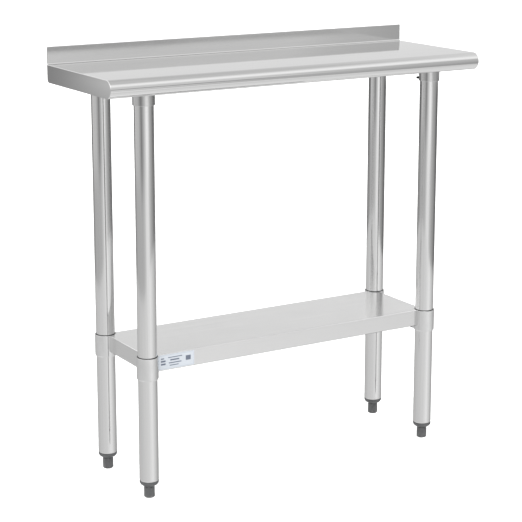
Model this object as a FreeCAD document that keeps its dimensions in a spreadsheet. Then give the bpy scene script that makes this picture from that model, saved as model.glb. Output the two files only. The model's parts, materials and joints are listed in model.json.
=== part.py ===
import FreeCAD, Part
import math
import operator
import os
from types import SimpleNamespace

import Sketcher
from FreeCAD import Placement, Rotation, Vector

# Stainless work table, in millimetres. The frame's origin is on the floor under the middle of the
# table: +X runs along its length to the right, +Y to the upturn at the back, and +Z up.

DIMENSIONS = [
    # worktop
    ("top_length", 914.4, "worktop, end to end"),
    ("top_depth", 304.8, "worktop, front to back"),
    ("work_height", 901.7, "floor to the working surface"),
    ("upturn_height", 38.1, "upturn above the working surface"),
    ("edge_depth", 38.1, "turned-down edges, and the rolled front edge's diameter"),
    ("sheet", 1.2, "steel sheet of the worktop, the shelf and the channels"),
    ("rear_bend", 8.0, "outside radius of the bend under the rear edge"),
    ("return_lip", 8.0, "return of the turned-down edges, below"),
    ("corner_break", 1.0, "rounding of the folded end edges"),
    ("crease_bend", 2.0, "radius between the working surface and the upturn"),
    # legs
    ("leg_diameter", 41.3, "leg tube, outside"),
    ("leg_wall", 1.2, "leg tube wall"),
    ("leg_span_x", 717.0, "leg axes, left to right"),
    ("leg_span_y", 200.0, "leg axes, front to back"),
    ("tube_end", 38.0, "floor to the lower end of the tubes"),
    # channels under the worktop
    ("channel_depth", 25.0, "end channels, depth"),
    ("channel_web", 90.0, "end channels, width of the web"),
    ("channel_foot", 15.0, "feet of the channels, each side"),
    ("end_channel_length", 268.0, "end channels, front to back"),
    ("end_channel_shift", 10.0, "end channels' middle, behind the worktop's"),
    ("centre_channel_length", 572.0, "centre channel"),
    ("centre_channel_web", 60.0, "centre and shelf channels, width of the web"),
    ("centre_channel_depth", 20.0, "centre and shelf channels, depth"),
    ("stud_radius", 2.5, "M5 weld studs"),
    ("stud_length", 9.0, "weld studs, below the worktop sheet"),
    ("nut_flats", 8.0, "M5 nut across its flats"),
    ("nut_height", 4.0, "M5 nut height"),
    # leg sockets
    ("socket_bottom", 840.7, "floor to the lower rim of the sockets"),
    ("socket_radius", 23.3, "sockets and collars, outside radius"),
    ("socket_bore", 20.85, "sockets, inside radius"),
    ("plate_width", 74.0, "socket plates, square"),
    ("plate_thickness", 3.0, "socket plates"),
    ("plate_corner", 8.0, "socket plates, corner radius"),
    ("bolt_offset_x", 28.0, "socket bolts, from the leg axis along X"),
    ("bolt_offset_y", 17.0, "socket bolts, from the leg axis along Y"),
    ("bolt_radius", 3.0, "M6 bolts and set screws"),
    ("bolt_length", 14.0, "socket bolts, under the head"),
    ("bolt_flats", 10.0, "M6 bolt head across its flats"),
    ("bolt_head", 4.5, "M6 bolt head height"),
    ("screw_length", 8.0, "set screws of the sockets"),
    ("screw_key", 3.0, "set screws' hexagon key, across its flats"),
    ("screw_key_depth", 3.5, "depth of the key hole"),
    ("socket_screw_rise", 5.8, "socket set screws, above the socket's rim"),
    # shelf
    ("shelf_height", 310.0, "floor to the shelf's upper face"),
    ("shelf_edge", 37.0, "turned-down edges of the shelf"),
    ("shelf_lip", 10.0, "return of the shelf's edges, below"),
    ("collar_height", 50.0, "collars"),
    ("collar_rise", 1.5, "collars' upper rim, above the shelf"),
    ("collar_bore", 20.95, "collars, inside radius: they slide on the legs"),
    ("collar_seat", 0.15, "gap between a collar and the shelf's corner"),
    ("rim_chamfer", 1.5, "chamfer inside a collar's upper rim"),
    ("foot_chamfer", 1.7, "chamfer outside a collar's lower rim"),
    ("boss_radius", 5.5, "boss that the collar's set screw goes through"),
    ("boss_reach", 27.5, "boss end, from the leg axis"),
    ("collar_screw_length", 10.0, "set screws of the collars"),
    ("ear_reach", 48.0, "collar ears behind the shelf's edges, from the leg axis"),
    ("ear_thickness", 3.0, "collar ears"),
    ("shelf_channel_length", 652.0, "channel under the shelf"),
    ("label_width", 86.0, "blank label"),
    ("label_height", 32.0, "blank label"),
    ("label_thickness", 0.3, "blank label"),
    ("label_gap", 2.0, "label, from the front left collar"),
    # levelling feet
    ("insert_bottom", 24.7, "floor to the lower end of the leg inserts"),
    ("insert_top", 62.0, "floor to the upper end of the leg inserts"),
    ("insert_neck", 11.2, "inserts' neck radius"),
    ("insert_dome", 8.4, "radius of the rounding under the inserts' rim"),
    ("insert_rim", 2.0, "inserts' rim below the tube"),
    ("insert_fit", 0.1, "gap between an insert and the tube's wall"),
    ("foot_height", 24.4, "hexagonal feet"),
    ("foot_flats", 20.0, "hexagonal feet across their flats"),
    ("foot_edge", 1.0, "chamfer round the feet"),
    ("stem_radius", 5.0, "M10 stems"),
    ("stem_top", 66.0, "floor to the stems' upper end"),
    ("stem_bottom", 3.0, "floor to the stems' lower end"),
    ("running_gap", 0.05, "radial gap round a stem"),
]

OPERATIONS = {"+": operator.add, "-": operator.sub, "*": operator.mul, "/": operator.truediv}
LARGEST_LABEL = 59


class Size:
    """A size: its number, and the spreadsheet formula that it comes from."""

    def __init__(self, number, formula):
        self.number = number
        self.formula = formula

    def __add__(self, other):
        return combine(self, "+", other)

    def __radd__(self, other):
        return combine(other, "+", self)

    def __sub__(self, other):
        return combine(self, "-", other)

    def __rsub__(self, other):
        return combine(other, "-", self)

    def __mul__(self, other):
        return combine(self, "*", other)

    def __rmul__(self, other):
        return combine(other, "*", self)

    def __truediv__(self, other):
        return combine(self, "/", other)

    def __neg__(self):
        return combine(0, "-", self)


def as_size(value):
    return value if isinstance(value, Size) else Size(float(value), f"({float(value):.6f})")


def combine(left, sign, right):
    left, right = as_size(left), as_size(right)
    number = OPERATIONS[sign](left.number, right.number)
    return Size(number, f"({left.formula} {sign} {right.formula})")


def make_sheet(document):
    """The spreadsheet of driving dimensions, and the same dimensions as Sizes."""
    sheet = document.addObject("Spreadsheet::Sheet", "Sizes")
    sizes = {}
    for row, (alias, number, meaning) in enumerate(DIMENSIONS, start=1):
        sheet.set(f"A{row}", alias)
        sheet.set(f"B{row}", str(number))
        sheet.set(f"C{row}", meaning)
        sheet.setAlias(f"B{row}", alias)
        sizes[alias] = Size(number, f"Sizes.{alias}")
    document.recompute()
    return SimpleNamespace(**sizes)


doc = FreeCAD.newDocument("work_table")
size = make_sheet(doc)
sub_parts = []

# ---------------------------------------------------------------- shared helpers


def bind(thing, path, value):
    thing.setExpression(path, as_size(value).formula)


def place(thing, x=0, y=0, z=0, rotation=None):
    """Puts a sub-part at a bound position, after an optional rotation."""
    base = [as_size(value) for value in (x, y, z)]
    thing.Placement = Placement(Vector(*(value.number for value in base)), rotation or Rotation())
    for letter, value in zip("xyz", base):
        bind(thing, f".Placement.Base.{letter}", value)


def name_part(thing, label):
    """Gives a sub-part its label, which names its file."""
    assert len(label) <= LARGEST_LABEL
    thing.Label = label
    sub_parts.append(thing)
    return thing


def new_body(label):
    return name_part(doc.addObject("PartDesign::Body", label), label)


def new_sketch(body, role, offset=0):
    """A sketch on one of the body's origin planes, moved along the plane's normal."""
    sketch = body.newObject("Sketcher::SketchObject", "Sketch")
    plane = next(item for item in body.Origin.OriginFeatures if item.Role == role)
    sketch.AttachmentSupport = [(plane, "")]
    sketch.MapMode = "FlatFace"
    bind(sketch, ".AttachmentOffset.Base.z", offset)
    return sketch


def pin(sketch, kind, geometry, point, value):
    """Binds one coordinate of a sketch point to a size, measured from the sketch's origin."""
    value = as_size(value)
    number = sketch.addConstraint(Sketcher.Constraint(kind, -1, 1, geometry, point, value.number))
    bind(sketch, f"Constraints[{number}]", value)


def add_arc(sketch, start, end, centre, turn):
    """An arc from start to end round centre: turn is 1 anticlockwise and -1 clockwise."""
    middle = Vector(*(as_size(value).number for value in centre), 0)
    radius = (start - middle).Length
    angles = [math.atan2(point.y - middle.y, point.x - middle.x) for point in (start, end)]
    first, last = angles if turn > 0 else reversed(angles)
    if last <= first:
        last += 2 * math.pi
    circle = Part.Circle(middle, Vector(0, 0, 1), radius)
    return sketch.addGeometry(Part.ArcOfCircle(circle, first, last))


def draw_outline(sketch, corners, arcs=None):
    """Draws a closed outline through corners, each an (x, y) pair of sizes.

    arcs gives, for the number of the corner it starts from, an arc's (centre, turn).
    """
    arcs = arcs or {}
    points = [Vector(*(as_size(value).number for value in corner), 0) for corner in corners]
    pieces = []
    for index, start in enumerate(points):
        end = points[(index + 1) % len(points)]
        if index in arcs:
            centre, turn = arcs[index]
            number = add_arc(sketch, start, end, centre, turn)
            pieces.append((number, 1 if turn > 0 else 2, 2 if turn > 0 else 1))
        else:
            pieces.append((sketch.addGeometry(Part.LineSegment(start, end)), 1, 2))
    for index, (number, start_point, end_point) in enumerate(pieces):
        following = pieces[(index + 1) % len(pieces)]
        sketch.addConstraint(
            Sketcher.Constraint("Coincident", number, end_point, following[0], following[1])
        )
        pin(sketch, "DistanceX", number, start_point, corners[index][0])
        pin(sketch, "DistanceY", number, start_point, corners[index][1])
    for index, (centre, _turn) in arcs.items():
        chord = points[(index + 1) % len(points)] - points[index]
        steep = abs(chord.y) > abs(chord.x)
        kind, value = ("DistanceX", centre[0]) if steep else ("DistanceY", centre[1])
        pin(sketch, kind, pieces[index][0], 3, value)
    return sketch


def draw_rectangle(sketch, left, bottom, right, top):
    return draw_outline(sketch, [(left, bottom), (right, bottom), (right, top), (left, top)])


def draw_circle(sketch, x, y, radius):
    x, y, radius = as_size(x), as_size(y), as_size(radius)
    circle = Part.Circle(Vector(x.number, y.number, 0), Vector(0, 0, 1), radius.number)
    number = sketch.addGeometry(circle)
    constraint = sketch.addConstraint(Sketcher.Constraint("Radius", number, radius.number))
    bind(sketch, f"Constraints[{constraint}]", radius)
    pin(sketch, "DistanceX", number, 3, x)
    pin(sketch, "DistanceY", number, 3, y)
    return sketch


def draw_hexagon(sketch, flats):
    """A hexagon round the origin, with two of its flats across X."""
    corner = flats / (2 * math.cos(math.radians(30)))
    angles = [math.radians(30 + 60 * step) for step in range(6)]
    return draw_outline(sketch, [(corner * math.cos(a), corner * math.sin(a)) for a in angles])


def pad(body, sketch, length, symmetric=False):
    feature = body.newObject("PartDesign::Pad", "Pad")
    feature.Profile = sketch
    if symmetric:
        feature.SideType = "Symmetric"
    bind(feature, "Length", length)
    doc.recompute()
    return feature


def pocket(body, sketch, length, symmetric=False, upward=False):
    """Cuts a sketch out of the body, down its normal unless upward, and checks that it cut."""
    before = body.Shape.Volume
    feature = body.newObject("PartDesign::Pocket", "Pocket")
    feature.Profile = sketch
    if symmetric:
        feature.SideType = "Symmetric"
    feature.Reversed = upward
    bind(feature, "Length", length)
    doc.recompute()
    if body.Shape.Volume >= before:
        raise RuntimeError(f"a pocket in {body.Label} cuts nothing")
    return feature


def revolve(body, sketch):
    """Turns a sketch on the XZ plane round the body's Z axis."""
    feature = body.newObject("PartDesign::Revolution", "Revolution")
    feature.Profile = sketch
    feature.ReferenceAxis = (sketch, ["V_Axis"])
    feature.Angle = 360
    doc.recompute()
    return feature


def add_primitive(body, kind, sizes, position, rotation=None):
    """Adds or cuts a PartDesign primitive, such as SubtractiveCylinder."""
    feature = body.newObject(f"PartDesign::{kind}", kind)
    for property_name, value in sizes.items():
        bind(feature, property_name, value)
    place(feature, *position, rotation=rotation)
    doc.recompute()
    return feature


def dress(body, kind, value, wanted):
    """A fillet or chamfer on every edge of the body that wanted(edge) picks."""
    base = body.Tip
    names = [f"Edge{n}" for n, edge in enumerate(base.Shape.Edges, start=1) if wanted(edge)]
    if not names:
        raise RuntimeError(f"no edge of {body.Label} to dress")
    feature = body.newObject(f"PartDesign::{kind}", kind)
    feature.Base = (base, names)
    bind(feature, "Radius" if kind == "Fillet" else "Size", value)
    doc.recompute()
    return feature


def near(value, target):
    return abs(value - as_size(target).number) < 0.01


def edge_lies_at(edge, **targets):
    """Whether the whole edge lies in the plane or on the line given by x, y or z."""
    box = edge.BoundBox
    spans = {"x": (box.XMin, box.XMax), "y": (box.YMin, box.YMax), "z": (box.ZMin, box.ZMax)}
    return all(near(end, targets[axis]) for axis in targets for end in spans[axis])


def set_group(label, members):
    """One sub-part made of separate solids, such as identical screws."""
    group = doc.addObject("Part::Compound", label)
    group.Links = members
    return name_part(group, label)


# The four legs, by name: the signs of x and y, and the quarter turn that points a piece's
# diagonal towards the middle of the table.
CORNERS = {
    "front_left": (-1, -1, 0),
    "front_right": (1, -1, 90),
    "rear_right": (1, 1, 180),
    "rear_left": (-1, 1, 270),
}
UPRIGHT = Vector(0, 0, 1)
DIAGONAL_ANGLE = 45


def leg_axis(corner):
    side, end, _turn = CORNERS[corner]
    return size.leg_span_x * (side / 2), size.leg_span_y * (end / 2)


def place_at_corner(thing, corner, z=0):
    """Puts a piece modelled round its own Z axis on a leg's axis, turned to face inward."""
    x, y = leg_axis(corner)
    place(thing, x, y, z, Rotation(UPRIGHT, CORNERS[corner][2]))


# ---------------------------------------------------------------- worktop


def worktop_outline(sketch, inset):
    """The worktop's section, seen along X: rolled front edge, flat top, rear bend."""
    half = size.top_depth / 2
    low = size.work_height - size.edge_depth
    roll = size.edge_depth / 2
    nose = -half + roll
    bend = half - size.rear_bend
    corners = [
        (nose, low + inset),
        (bend, low + inset),
        (half - inset, low + size.rear_bend),
        (half - inset, size.work_height - inset),
        (nose, size.work_height - inset),
    ]
    arcs = {
        1: ((bend, low + size.rear_bend), 1),
        4: ((nose, size.work_height - roll), 1),
    }
    return draw_outline(sketch, corners, arcs)


def make_tabletop():
    body = new_body("tabletop")
    half_length = size.top_length / 2
    half_depth = size.top_depth / 2
    low = size.work_height - size.edge_depth

    pad(body, worktop_outline(new_sketch(body, "YZ_Plane"), 0), size.top_length, symmetric=True)
    inside = size.top_length - 2 * size.sheet
    hollow = worktop_outline(new_sketch(body, "YZ_Plane"), size.sheet)
    pocket(body, hollow, inside, symmetric=True)

    opening = new_sketch(body, "XY_Plane", low)
    reach = half_length - size.sheet - size.return_lip
    front = -half_depth + size.edge_depth / 2 + size.return_lip
    rear = half_depth - size.rear_bend - size.return_lip
    draw_rectangle(opening, -reach, front, reach, rear)
    pocket(body, opening, size.sheet * 2, upward=True)

    # the upturn is the sheet folded back on itself, so it is two sheets thick
    upturn = new_sketch(body, "YZ_Plane")
    face = half_depth - 2 * size.sheet
    crown = size.work_height + size.upturn_height - size.sheet
    corners = [
        (face, size.work_height - size.sheet),
        (half_depth, size.work_height - size.sheet),
        (half_depth, crown),
        (face, crown),
    ]
    draw_outline(upturn, corners, {2: ((half_depth - size.sheet, crown), 1)})
    pad(body, upturn, size.top_length, symmetric=True)

    dress(
        body, "Fillet", size.crease_bend,
        lambda edge: edge_lies_at(edge, y=face, z=size.work_height),
    )
    nose = (-half_depth + size.edge_depth / 2).number

    def is_end_edge(edge):
        at_end = any(edge_lies_at(edge, x=sign * half_length) for sign in (-1, 1))
        box = edge.BoundBox
        top = near(box.ZMin, size.work_height) and near(box.ZMax, size.work_height)
        outer_roll = near(box.YMin, -half_depth) and box.YMax < nose + 1
        return at_end and (top or outer_roll)

    dress(body, "Fillet", size.corner_break, is_end_edge)


# ---------------------------------------------------------------- channels under the sheets


def make_channel(label, length, web, depth, foot):
    """A hat channel along Y, its feet at z = 0 and its web below."""
    body = new_body(label)
    half = web / 2
    wall = size.sheet
    right_side = [
        (half - wall, -(depth - wall)),
        (half - wall, 0),
        (half + foot, 0),
        (half + foot, -wall),
        (half, -wall),
        (half, -depth),
    ]
    left_side = [(-x, y) for x, y in reversed(right_side)]
    sketch = draw_outline(new_sketch(body, "XZ_Plane"), right_side + left_side)
    pad(body, sketch, length, symmetric=True)
    return body


def drill(body, centres, radius, top, depth):
    """Round holes straight down from height top."""
    sketch = new_sketch(body, "XY_Plane", top)
    for x, y in centres:
        draw_circle(sketch, x, y, radius)
    pocket(body, sketch, depth)


def channel_ceiling():
    """Height of the worktop sheet's underside, where the channels' feet are."""
    return size.work_height - size.sheet


def end_stud_places():
    """Studs of an end channel, in the channel's own X and Y."""
    x = size.channel_web / 2 + size.channel_foot / 2
    y = size.end_channel_length / 2 - 2 * size.channel_foot
    return [(side * x, end * y) for side in (-1, 1) for end in (-1, 1)]


def centre_stud_places():
    """Studs of the centre channel, in the channel's own X and Y, which runs along Y."""
    x = size.centre_channel_web / 2 + size.channel_foot / 2
    y = size.centre_channel_length / 2 - 2 * size.channel_foot
    return [(side * x, step * y) for side in (-1, 1) for step in (-1, 0, 1)]


def bolt_places():
    """A leg socket's four bolts, round the leg's axis, in the table's X and Y."""
    return [(x * size.bolt_offset_x, y * size.bolt_offset_y) for x in (-1, 1) for y in (-1, 1)]


def make_end_channel(side_name, side):
    body = make_channel(
        f"end_channel_{side_name}", size.end_channel_length,
        size.channel_web, size.channel_depth, size.channel_foot,
    )
    leg_axes = [end * size.leg_span_y / 2 - size.end_channel_shift for end in (-1, 1)]
    bolts = [(x, axis + y) for axis in leg_axes for x, y in bolt_places()]
    web_top = -(size.channel_depth - size.sheet)
    drill(body, bolts, size.bolt_radius + size.running_gap, web_top, size.sheet * 2)
    stud_hole = size.stud_radius + size.running_gap
    drill(body, end_stud_places(), stud_hole, 0, size.sheet * 2)
    place(body, side * size.leg_span_x / 2, size.end_channel_shift, channel_ceiling())


def make_centre_channel():
    body = make_channel(
        "centre_channel", size.centre_channel_length,
        size.centre_channel_web, size.centre_channel_depth, size.channel_foot,
    )
    drill(body, centre_stud_places(), size.stud_radius + size.running_gap, 0, size.sheet * 2)
    place(body, 0, size.end_channel_shift, channel_ceiling(), Rotation(UPRIGHT, 90))


def all_stud_places():
    """Every stud under the worktop, in the table's frame."""
    places = [
        (side * size.leg_span_x / 2 + x, size.end_channel_shift + y)
        for side in (-1, 1) for x, y in end_stud_places()
    ]
    return places + [(y, size.end_channel_shift + x) for x, y in centre_stud_places()]


def make_studs_and_nuts():
    studs, nuts = [], []
    for x, y in all_stud_places():
        stud = doc.addObject("Part::Cylinder", "Stud")
        bind(stud, "Radius", size.stud_radius)
        bind(stud, "Height", size.stud_length)
        place(stud, x, y, channel_ceiling() - size.stud_length)
        studs.append(stud)

        hexagon = doc.addObject("Part::Prism", "NutBlank")
        hexagon.Polygon = 6
        bind(hexagon, "Circumradius", size.nut_flats / (2 * math.cos(math.radians(30))))
        bind(hexagon, "Height", size.nut_height)
        bore = doc.addObject("Part::Cylinder", "NutBore")
        bind(bore, "Radius", size.stud_radius + size.running_gap)
        bind(bore, "Height", size.nut_height)
        nut = doc.addObject("Part::Cut", "Nut")
        nut.Base = hexagon
        nut.Tool = bore
        place(nut, x, y, channel_ceiling() - size.sheet - size.nut_height)
        nuts.append(nut)
    set_group("weld_studs", studs)
    set_group("stud_nuts", nuts)


# ---------------------------------------------------------------- leg sockets


def plate_bottom():
    """Height of the socket plates' lower face."""
    return channel_ceiling() - size.channel_depth - size.plate_thickness


def screw_rotation():
    """Turns a Z-axis piece to point along the inward diagonal of a corner piece."""
    diagonal = Vector(math.cos(math.radians(DIAGONAL_ANGLE)), math.sin(math.radians(DIAGONAL_ANGLE)), 0)
    return Rotation(UPRIGHT, diagonal)


def along_diagonal(distance):
    """The x and y of a point on the inward diagonal of a corner piece."""
    angle = math.radians(DIAGONAL_ANGLE)
    return distance * math.cos(angle), distance * math.sin(angle)


def make_leg_socket(corner):
    body = new_body(f"leg_socket_{corner}")
    half = size.plate_width / 2
    low = plate_bottom()
    plate = draw_rectangle(new_sketch(body, "XY_Plane", low), -half, -half, half, half)
    pad(body, plate, size.plate_thickness)
    dress(
        body, "Fillet", size.plate_corner,
        lambda edge: near(edge.BoundBox.ZLength, size.plate_thickness),
    )
    cup = new_sketch(body, "XZ_Plane")
    corners = [
        (size.socket_bore, size.socket_bottom),
        (size.socket_radius, size.socket_bottom),
        (size.socket_radius, low + size.sheet),
        (size.socket_bore, low + size.sheet),
    ]
    revolve(body, draw_outline(cup, corners))
    bore = draw_circle(new_sketch(body, "XY_Plane", low), 0, 0, size.socket_bore)
    pocket(body, bore, size.sheet, upward=True)
    quarter_turned = CORNERS[corner][2] % 180 != 0
    bolts = [(y, x) if quarter_turned else (x, y) for x, y in bolt_places()]
    drill(body, bolts, size.bolt_radius + size.running_gap, low + size.plate_thickness, size.bolt_length)
    add_primitive(
        body, "SubtractiveCylinder",
        {"Radius": size.bolt_radius + size.running_gap, "Height": size.socket_radius},
        (*along_diagonal(size.leg_diameter / 4), size.socket_bottom + size.socket_screw_rise),
        screw_rotation(),
    )
    place_at_corner(body, corner)


def make_socket_bolts():
    """Hexagon-headed bolts, up through the socket plates and the channels' webs."""
    bolts = []
    for corner in CORNERS:
        x, y = leg_axis(corner)
        for dx, dy in bolt_places():
            head = doc.addObject("Part::Prism", "BoltHead")
            head.Polygon = 6
            bind(head, "Circumradius", size.bolt_flats / (2 * math.cos(math.radians(30))))
            bind(head, "Height", size.bolt_head)
            shank = doc.addObject("Part::Cylinder", "BoltShank")
            bind(shank, "Radius", size.bolt_radius)
            bind(shank, "Height", size.bolt_length)
            place(shank, 0, 0, size.bolt_head)
            bolt = doc.addObject("Part::Fuse", "Bolt")
            bolt.Base = head
            bolt.Tool = shank
            place(bolt, x + dx, y + dy, plate_bottom() - size.bolt_head)
            bolts.append(bolt)
    set_group("socket_bolts", bolts)


def make_set_screw(corner, tip, length, z):
    """A hollow-headed set screw on a corner's inward diagonal, its tip at distance tip."""
    shank = doc.addObject("Part::Cylinder", "SetScrewBlank")
    bind(shank, "Radius", size.bolt_radius)
    bind(shank, "Height", length)
    key = doc.addObject("Part::Prism", "SetScrewKey")
    key.Polygon = 6
    bind(key, "Circumradius", size.screw_key / (2 * math.cos(math.radians(30))))
    bind(key, "Height", size.screw_key_depth * 2)
    place(key, 0, 0, length - size.screw_key_depth)
    screw = doc.addObject("Part::Cut", "SetScrew")
    screw.Base = shank
    screw.Tool = key
    x, y = leg_axis(corner)
    angle = math.radians(DIAGONAL_ANGLE + CORNERS[corner][2])
    direction = Vector(math.cos(angle), math.sin(angle), 0)
    place(
        screw, x + tip * direction.x, y + tip * direction.y, z, Rotation(UPRIGHT, direction)
    )
    return screw


def make_set_screws():
    socket_z = size.socket_bottom + size.socket_screw_rise
    socket_tip = size.leg_diameter / 2 + size.running_gap
    set_group(
        "socket_set_screws",
        [make_set_screw(corner, socket_tip, size.screw_length, socket_z) for corner in CORNERS],
    )
    set_group(
        "collar_set_screws",
        [
            make_set_screw(corner, size.collar_bore, size.collar_screw_length, collar_screw_height())
            for corner in CORNERS
        ],
    )


# ---------------------------------------------------------------- legs and feet


def make_leg(corner):
    """A tube from its insert up into its socket."""
    body = new_body(f"leg_{corner}")
    sketch = new_sketch(body, "XY_Plane", size.tube_end)
    draw_circle(sketch, 0, 0, size.leg_diameter / 2)
    draw_circle(sketch, 0, 0, size.leg_diameter / 2 - size.leg_wall)
    pad(body, sketch, plate_bottom() - size.sheet - size.tube_end)
    place_at_corner(body, corner)


def make_foot_insert(corner):
    """A plastic plug in the tube's end: a rim, a rounded underside and a threaded neck."""
    body = new_body(f"foot_insert_{corner}")
    rim = size.leg_diameter / 2
    plug = rim - size.leg_wall - size.insert_fit
    bore = size.stem_radius + size.running_gap
    rim_low = size.tube_end - size.insert_rim
    dome_low = rim_low - size.insert_dome
    corners = [
        (bore, size.insert_bottom),
        (size.insert_neck, size.insert_bottom),
        (size.insert_neck, dome_low),
        (rim - size.insert_dome, dome_low),
        (rim, rim_low),
        (rim, size.tube_end),
        (plug, size.tube_end),
        (plug, size.insert_top),
        (bore, size.insert_top),
    ]
    arcs = {3: ((rim - size.insert_dome, rim_low), 1)}
    revolve(body, draw_outline(new_sketch(body, "XZ_Plane"), corners, arcs))
    place_at_corner(body, corner)


def make_foot_stem(corner):
    body = new_body(f"foot_stem_{corner}")
    sketch = new_sketch(body, "XY_Plane", size.stem_bottom)
    draw_circle(sketch, 0, 0, size.stem_radius)
    pad(body, sketch, size.stem_top - size.stem_bottom)
    place_at_corner(body, corner)


def make_hex_foot(corner):
    """The hexagonal plastic foot, with a blind hole that its stem sits in."""
    body = new_body(f"hex_foot_{corner}")
    pad(body, draw_hexagon(new_sketch(body, "XY_Plane"), size.foot_flats), size.foot_height)

    def is_rim_edge(edge):
        return any(edge_lies_at(edge, z=height) for height in (0, size.foot_height))

    dress(body, "Chamfer", size.foot_edge, is_rim_edge)
    hole_bottom = size.stem_bottom - size.foot_edge / 4
    radius = size.stem_radius + size.running_gap
    drill(body, [(0, 0)], radius, size.foot_height, size.foot_height - hole_bottom)
    x, y = leg_axis(corner)
    place(body, x, y)


# ---------------------------------------------------------------- undershelf


def shelf_low():
    """Height of the lower side of the shelf's turned-down edges."""
    return size.shelf_height - size.shelf_edge


def collar_low():
    return size.shelf_height + size.collar_rise - size.collar_height


def collar_screw_height():
    return collar_low() + size.boss_radius


def make_undershelf():
    """A tray upside down, with its corners cut round the collars."""
    body = new_body("undershelf")
    x, y = size.leg_span_x / 2, size.leg_span_y / 2
    low = shelf_low()
    wall = size.sheet
    lip = wall + size.shelf_lip
    pad(body, draw_rectangle(new_sketch(body, "XY_Plane", low), -x, -y, x, y), size.shelf_edge)
    top_edges = [{"x": sign * x} for sign in (-1, 1)] + [{"y": sign * y} for sign in (-1, 1)]
    dress(
        body, "Fillet", size.corner_break,
        lambda edge: any(edge_lies_at(edge, z=size.shelf_height, **line) for line in top_edges),
    )
    hollow = new_sketch(body, "XY_Plane", size.shelf_height - wall)
    draw_rectangle(hollow, wall - x, wall - y, x - wall, y - wall)
    pocket(body, hollow, size.shelf_edge - 2 * wall)
    opening = new_sketch(body, "XY_Plane", low)
    draw_rectangle(opening, lip - x, lip - y, x - lip, y - lip)
    pocket(body, opening, 2 * wall, upward=True)
    radius = size.socket_radius + size.collar_seat
    drill(body, [leg_axis(corner) for corner in CORNERS], radius, size.shelf_height, size.shelf_edge)


def make_shelf_channel():
    body = make_channel(
        "shelf_channel", size.shelf_channel_length,
        size.centre_channel_web, size.centre_channel_depth, size.channel_foot,
    )
    place(body, 0, 0, size.shelf_height - size.sheet, Rotation(UPRIGHT, 90))


def make_collar(corner):
    """A cast collar that slides on the leg, with a boss and two ears inside the shelf's edges."""
    body = new_body(f"shelf_collar_{corner}")
    low = collar_low()
    high = low + size.collar_height
    corners = [
        (size.collar_bore, low),
        (size.socket_radius - size.foot_chamfer, low),
        (size.socket_radius, low + size.foot_chamfer),
        (size.socket_radius, high),
        (size.collar_bore + size.rim_chamfer, high),
        (size.collar_bore, high - size.rim_chamfer),
    ]
    revolve(body, draw_outline(new_sketch(body, "XZ_Plane"), corners))

    wall_middle = (size.collar_bore + size.socket_radius) / 2
    add_primitive(
        body, "AdditiveCylinder",
        {"Radius": size.boss_radius, "Height": size.boss_reach - wall_middle},
        (*along_diagonal(wall_middle), collar_screw_height()), screw_rotation(),
    )
    ear_low = shelf_low() + 2 * size.sheet
    ear_high = size.shelf_height - size.sheet
    reach = size.ear_reach - wall_middle
    for length, width, x, y in (
        (reach, size.ear_thickness, wall_middle, size.sheet),
        (size.ear_thickness, reach, size.sheet, wall_middle),
    ):
        add_primitive(
            body, "AdditiveBox",
            {"Length": length, "Width": width, "Height": ear_high - ear_low}, (x, y, ear_low),
        )
    add_primitive(
        body, "SubtractiveCylinder",
        {"Radius": size.bolt_radius + size.running_gap, "Height": size.boss_reach},
        (*along_diagonal(size.leg_diameter / 4), collar_screw_height()), screw_rotation(),
    )
    place_at_corner(body, corner)


def make_label():
    """A thin blank label on the shelf's front edge, beside the front left collar."""
    body = new_body("label_plate")
    left = -size.leg_span_x / 2 + size.socket_radius + size.label_gap
    low = shelf_low() + (size.shelf_edge - size.label_height) / 2
    front = new_sketch(body, "XZ_Plane", size.leg_span_y / 2)
    draw_rectangle(front, left, low, left + size.label_width, low + size.label_height)
    pad(body, front, size.label_thickness)


# ---------------------------------------------------------------- build, check and write


def build():
    make_tabletop()
    make_end_channel("left", -1)
    make_end_channel("right", 1)
    make_centre_channel()
    make_studs_and_nuts()
    for corner in CORNERS:
        make_leg_socket(corner)
        make_leg(corner)
        make_foot_insert(corner)
        make_foot_stem(corner)
        make_hex_foot(corner)
        make_collar(corner)
    make_socket_bolts()
    make_set_screws()
    make_undershelf()
    make_shelf_channel()
    make_label()
    doc.recompute()


def check():
    for item in doc.Objects:
        if {"Invalid", "Error"} & set(item.State):
            raise RuntimeError(f"{item.Name} failed: {item.State}")
    for part in sub_parts:
        if part.Shape.isNull() or not part.Shape.isValid():
            raise RuntimeError(f"{part.Label} has no valid shape")


def write():
    os.makedirs("parts", exist_ok=True)
    for part in sub_parts:
        part.Shape.exportStep(os.path.join("parts", f"{part.Label}.step"))
        box = part.Shape.optimalBoundingBox(False)
        print(
            f"{part.Label:28s} solids {len(part.Shape.Solids):2d} volume {part.Shape.Volume:10.0f}"
            f"  x {box.XMin:8.1f} {box.XMax:8.1f}  y {box.YMin:8.1f} {box.YMax:8.1f}"
            f"  z {box.ZMin:8.1f} {box.ZMax:8.1f}"
        )


build()
check()
write()
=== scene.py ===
import json
import math

import bmesh
import bpy
from mathutils import Matrix, Vector


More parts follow.
